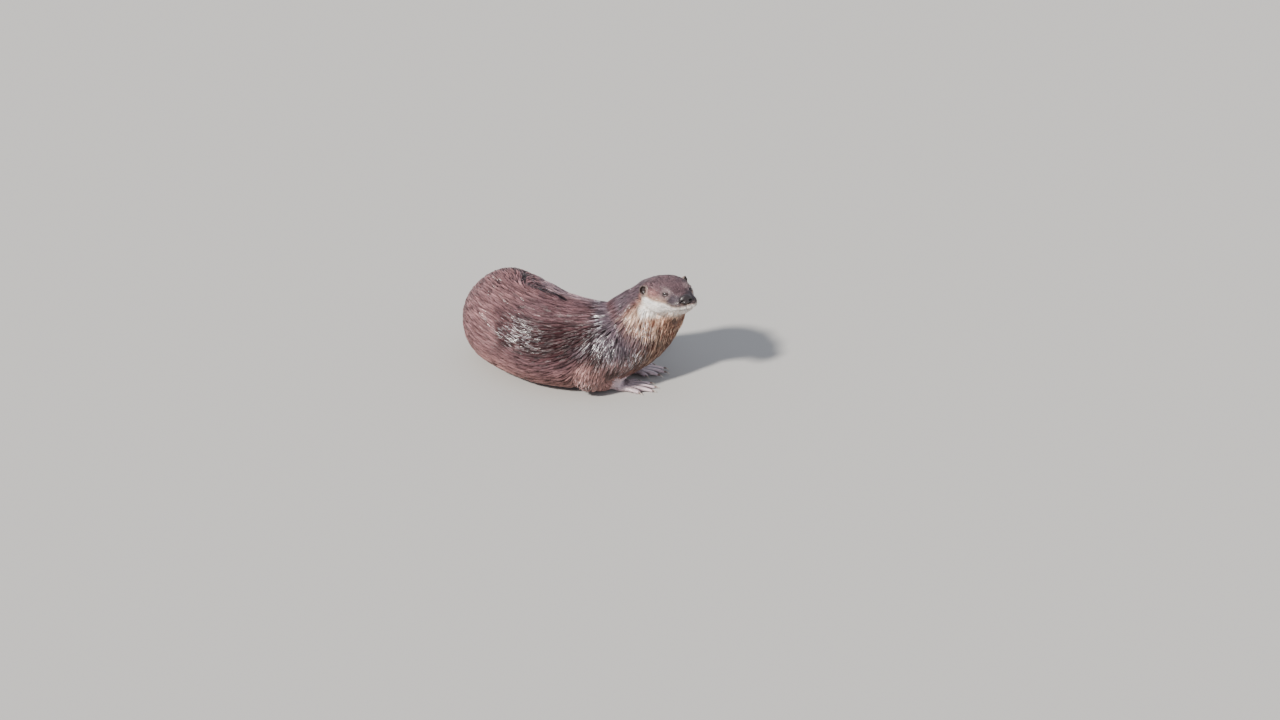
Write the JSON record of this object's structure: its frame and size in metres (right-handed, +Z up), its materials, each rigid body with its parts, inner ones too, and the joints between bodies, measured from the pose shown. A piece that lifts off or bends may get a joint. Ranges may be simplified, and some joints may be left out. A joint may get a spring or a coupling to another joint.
{
  "type": "river otter",
  "caption": "river otter lying on its belly, hindquarters curled behind, neck raised and head turned to its right; a still life-size animal",
  "frame": {"origin": "centre of the bounding box at floor level", "axes": "X runs along the trunk from rump to head, Z up; the head is turned towards -Y and the tail lies at +Y"},
  "size_m": [0.4162, 0.3016, 0.2154],
  "materials": {
    "coat": "wet brown fur",
    "eye": "moist dark eye",
    "nose": "moist bare skin"
  },
  "bodies": {
    "root": {"head": "coat", "neck": "coat", "chest": "coat", "barrel": "coat", "loin": "coat", "rump": "coat", "tail_root": "coat", "tail_middle": "coat", "tail_tip": "coat", "ear_left": "coat", "ear_right": "coat", "foreleg_left": "coat", "foreleg_right": "coat", "hindleg_left": "coat", "hindleg_right": "coat", "eye_left": "eye", "eye_right": "eye", "nose_pad": "nose"}
  },
  "joints": []
}
